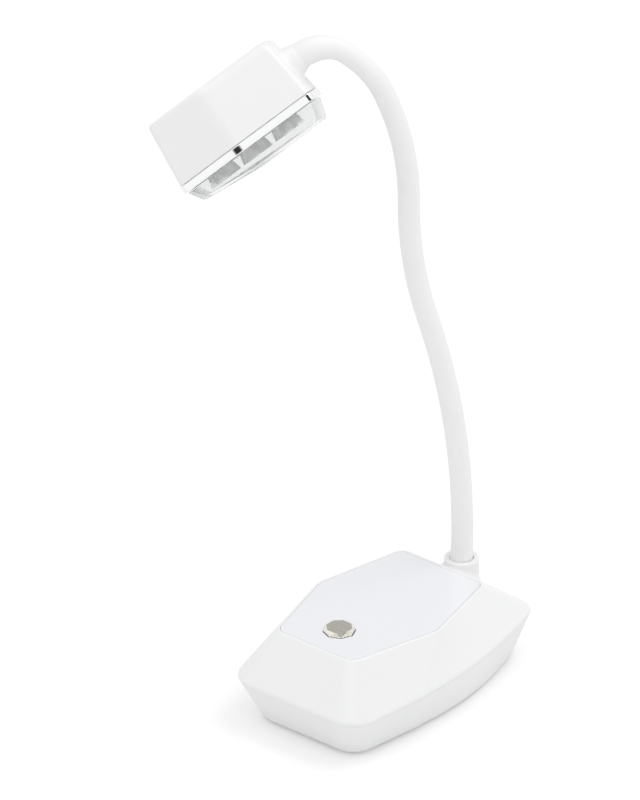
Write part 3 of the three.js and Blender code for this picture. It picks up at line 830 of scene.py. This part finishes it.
def head_boss():
    """A short cone that flares into the head's rear face and laps over the sleeve's end."""
    low_z, low_x = HEAD_BOTTOM[0], HEAD_BOTTOM[1][0][1]
    high_z, high_x = HEAD_TOP[0], HEAD_TOP[1][0][1]
    rear = lambda z: high_x - (high_z - z) * (high_x - low_x) / (high_z - low_z)
    sides = 96
    edge = 11
    root = 8
    columns = []
    for j in range(sides):
        angle = 2 * math.pi * j / sides
        away = Vector((0, math.cos(angle), math.sin(angle)))
        at = lambda r, x: away * r + Vector((x, 0, 0))
        foot = at(edge, rear(away.z * edge) + 0.04)
        corner = at(root, rear(away.z * root))
        tip = at(6.2, -HEAD_BOSS - 0.4)
        flare = curve_round(corner, foot, tip, (foot - corner).length, 3.6, 8)
        rim = curve_round(tip, corner, at(0, tip.x), 0.1, 0.1, 3)
        columns.append([at(0.5, tip.x), *reversed(rim), *reversed(flare), foot + Vector((1.5, 0, 0))])
    return skin("boss", [list(ring) for ring in zip(*columns)])


def head_trim():
    """A plated band with soft edges that stands a little proud of the hood."""
    ends = HEAD_BOTTOM[1]

    def column(points):
        low, high, high_in, low_in = points
        path = curve_round(low, low_in, high, 0.35, 0.5, 4)
        path += curve_round(high, low, high_in, 0.5, 0.35, 4)
        return path + [high_in, low_in]

    band = skin("head_trim_look", by_column([
        head_ring(ends, -TRIM_PROUD, TRIM_FOOT),
        head_ring(ends, -TRIM_PROUD, TRIM_TOP),
        head_ring(ends, HEAD_WALL, TRIM_TOP),
        head_ring(ends, HEAD_WALL, TRIM_FOOT),
    ], column), joined=True)
    smooth(band, 40)
    head_piece(band, "chrome", ["head_trim"])


def lens_depth(x):
    """How far the lens reaches below its top at a place along the head."""
    places = [place for _, place in LENS_BOTTOM]
    back, middle, front = LENS_DEPTHS
    if x < places[1]:
        return back + (middle - back) * (x - places[0]) / (places[1] - places[0])
    return middle + (front - middle) * (x - places[1]) / (places[2] - places[1])


def lens_cover():
    """A clear tray with real thickness and soft outer edges."""
    def column(points):
        middle_out, low, high, high_in, low_in, middle_in = points
        path = [middle_out]
        path += curve_round(low, middle_out, high, 1.6, 1.6, 6)
        path += curve_round(high, low, high_in, 0.3, 0.3, 3)
        path += curve_round(high_in, high, low_in, 0.3, 0.3, 3)
        path += curve_round(low_in, high_in, middle_in, 0.8, 0.8, 4)
        return path + [middle_in]

    outer = lambda x: LENS_TOP - lens_depth(x)
    inner = lambda x: LENS_TOP - lens_depth(x) + LENS_WALL
    cover = skin("lens_cover_look", by_column([
        head_ring(LENS_BOTTOM, 5, outer),
        head_ring(LENS_BOTTOM, 0, outer),
        head_ring(HEAD_BOTTOM[1], LENS_TOP_INSET, LENS_TOP),
        head_ring(HEAD_BOTTOM[1], LENS_TOP_INSET + LENS_WALL, LENS_TOP),
        head_ring(LENS_BOTTOM, LENS_WALL, inner),
        head_ring(LENS_BOTTOM, LENS_WALL + 4, inner),
    ], column))
    smooth(cover, 40)
    head_piece(cover, "clear_plastic", ["lens_cover"])


def reflector(index, x):
    """A mirror cup with a thin wall that opens towards the lens."""
    foot_radius = 3.3
    widening = 4.0
    wall = 0.75
    mouth = LENS_TOP - 4.7
    steps = 14
    inside = []
    for i in range(steps + 1):
        t = i / steps
        inside.append((foot_radius + widening * t ** 0.72, LAMP_TOP + (mouth - LAMP_TOP) * t))
    outside = [(r + wall, z) for r, z in reversed(inside)]
    outside[0] = (8.0, mouth)
    outside[-1] = (4.2, LAMP_TOP)
    cup = turned(f"reflector_{index}_look", inside + outside, 72, joined=True)
    cup.data.transform(Matrix.Translation(Vector((x, 0, 0)) * MM))
    smooth(cup, 45)
    head_piece(cup, "chrome", [f"reflector_{index}"], MIRROR)


def led(index, x):
    """An emitter: a ceramic square and a domed phosphor."""
    half = 2
    seat = LAMP_TOP - 0.9
    radius = 1.7
    angles = [math.radians(4 + 86 * i / 8) for i in range(9)]
    dome = [(radius * math.sin(a), seat - 1.1 * math.cos(a)) for a in angles]
    package = turned(f"led_{index}_look", [*dome, (radius, seat + 0.4)], 32)
    corners = ((-half, -half), (half, -half), (half, half), (-half, half))
    block = skin("block", [[Vector((cx, cy, z)) for cx, cy in corners] for z in (seat, LAMP_TOP)])
    bevel(block, 0.15)
    combine(package, [block], "UNION")
    package.data.transform(Matrix.Translation(Vector((x, 0, 0)) * MM))
    smooth(package, 30)
    head_piece(package, "phosphor", [f"led_{index}"])


# ---- The CAD nodes that are kept as they are ----

KEPT = {
    "zinc_steel": [
        "ballast_plate", "base_screw_", "head_screw_", "neck_ferrule", "neck_nut", "head_ferrule",
        "head_nut",
    ],
    "cell_wrap": ["battery_cell"],
    "black_plastic": ["battery_holder", "switch_body", "switch_plunger", "button_guide"],
    "green_board": ["control_board", "socket_board"],
    "spring_steel": ["button_spring", "neck_core_"],
    "aluminium": ["heat_sink"],
    "white_board": ["led_board"],
}


def kept_nodes():
    """Gives the inner pieces a finish and slightly soft edges."""
    for look, starts in KEPT.items():
        for name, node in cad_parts.items():
            if any(name.startswith(start) for start in starts):
                node.data.materials.clear()
                node.data.materials.append(LOOKS[look])
                edges = node.modifiers.new("edges", "BEVEL")
                edges.width = 0.12 * MM
                edges.segments = 2
                edges.angle_limit = math.radians(40)


# ---- Surroundings ----

FLOOR_GLOW = 0.1                  # a white sweep: it glows a little, and more where it is seen
FLOOR_GLOW_SEEN = 0.2
ROOM_LIGHT = 0.66                 # even light from all round, and how far it swings towards one side
ROOM_SWING = 0.5
BRIGHT_SIDE = (0.15, -0.23, 0.96)
# Dark cards round the set, which show only in reflections: direction, reach in degrees, level.
DARK_CARDS = [
    ((0.39, -0.87, 0.31), 13, 0.03),
    ((0.7, 0.08, 0.72), 30, 0.04),
    ((-0.62, 0.62, 0.48), 22, 0.45),
]
CARD_EDGE = 4                     # degrees over which a card fades, each way


def floor():
    size = 3000
    corners = [Vector((x * size, y * size, 0)) for x, y in ((-1, -1), (1, -1), (1, 1), (-1, 1))]
    sheet = mesh_piece("floor", corners, [(0, 1, 2, 3)])
    look = Shader("floor", (0.8, 0.8, 0.8), 0.7)
    look.tint(300, (0.8, 0.8, 0.8), (0.79, 0.79, 0.79)).relief(40, 0.02)
    look.set(Specular_IOR_Level=0.2)
    look.shader.inputs["Emission Color"].default_value = (1, 1, 1, 1)
    rays = look.tree.nodes.new("ShaderNodeLightPath").outputs["Is Camera Ray"]
    glow = look.between(rays, FLOOR_GLOW, FLOOR_GLOW_SEEN, (0, 1))
    look.join(glow, look.shader.inputs["Emission Strength"])
    sheet.data.materials.append(look.material)


def key_light():
    """A soft light above and behind. Its sizes and place are in metres."""
    place = Vector((0.45, 0.55, 1.45))
    aim = Vector((0, 0, 0.12))
    data = bpy.data.lights.new("key", "AREA")
    data.shape = "RECTANGLE"
    data.size = 0.8
    data.size_y = 0.8
    data.energy = 3.8
    light = bpy.data.objects.new("key", data)
    light.location = place
    light.rotation_euler = (aim - place).to_track_quat("-Z", "Y").to_euler()
    bpy.context.scene.collection.objects.link(light)


def toward(tree, aim, given, wanted):
    """A level that depends on how closely a direction of the surroundings runs towards an aim."""
    place = tree.nodes.new("ShaderNodeTexCoord").outputs["Generated"]
    dot = tree.nodes.new("ShaderNodeVectorMath")
    dot.operation = "DOT_PRODUCT"
    dot.inputs[1].default_value = Vector(aim).normalized()
    tree.links.new(place, dot.inputs[0])
    node = tree.nodes.new("ShaderNodeMapRange")
    for socket, value in zip(("From Min", "From Max", "To Min", "To Max"), (*given, *wanted)):
        node.inputs[socket].default_value = value
    tree.links.new(dot.outputs["Value"], node.inputs["Value"])
    return node.outputs["Result"]


def maths(tree, operation, *values):
    """A maths node. Each value is a number or another node's output."""
    node = tree.nodes.new("ShaderNodeMath")
    node.operation = operation
    for value, socket in zip(values, node.inputs):
        if isinstance(value, bpy.types.NodeSocket):
            tree.links.new(value, socket)
        else:
            socket.default_value = value
    return node.outputs["Value"]


def surroundings():
    """A room that lights from all round, reflects as plain white with dark cards, and is seen as white."""
    world = bpy.data.worlds.new("studio")
    world.use_nodes = True
    tree = world.node_tree
    backdrop = tree.nodes["Background"]
    backdrop.inputs["Color"].default_value = (1, 1, 1, 1)
    level = toward(tree, BRIGHT_SIDE, (-1, 1), (ROOM_LIGHT - ROOM_SWING, ROOM_LIGHT + ROOM_SWING))
    rays = tree.nodes.new("ShaderNodeLightPath").outputs
    reflected = rays["Is Glossy Ray"]
    for aim, reach, shade in DARK_CARDS:
        edge = [math.cos(math.radians(angle)) for angle in (reach + CARD_EDGE, reach - CARD_EDGE)]
        reflected = maths(tree, "MULTIPLY", reflected, toward(tree, aim, edge, (1, shade)))
    not_glossy = maths(tree, "SUBTRACT", 1, rays["Is Glossy Ray"])
    level = maths(tree, "MULTIPLY", level, not_glossy)
    level = maths(tree, "ADD", level, reflected)
    level = maths(tree, "MAXIMUM", level, rays["Is Camera Ray"])
    tree.links.new(level, backdrop.inputs["Strength"])
    scene = bpy.context.scene
    scene.world = world
    scene.view_settings.view_transform = "Standard"


def camera():
    """A long lens from far away, so that there is almost no perspective."""
    azimuth = math.radians(39.5)
    elevation = math.radians(29.8)
    level = Vector((math.sin(azimuth), -math.cos(azimuth), 0))
    away = level * math.cos(elevation) + UPWARD * math.sin(elevation)
    aim = Vector((-35.5, -3.3, 135.8)) * MM
    distance = 8
    data = bpy.data.cameras.new("camera")
    data.lens = 815.4
    data.clip_end = 50
    eye = bpy.data.objects.new("camera", data)
    eye.location = aim + away * distance
    eye.rotation_euler = (-away).to_track_quat("-Z", "Y").to_euler()
    bpy.context.scene.collection.objects.link(eye)
    bpy.context.scene.camera = eye


base_upper()
base_lower()
charging_inlet()
top_panel()
base_pad()
button_cap()
neck()
head_shell()
head_trim()
lens_cover()
for number in (1, 2, 3):
    lamp_place = LAMP_MIDDLE + (number - 2) * LAMP_PITCH
    led(number, lamp_place)
    reflector(number, lamp_place)
kept_nodes()
floor()
surroundings()
key_light()
camera()
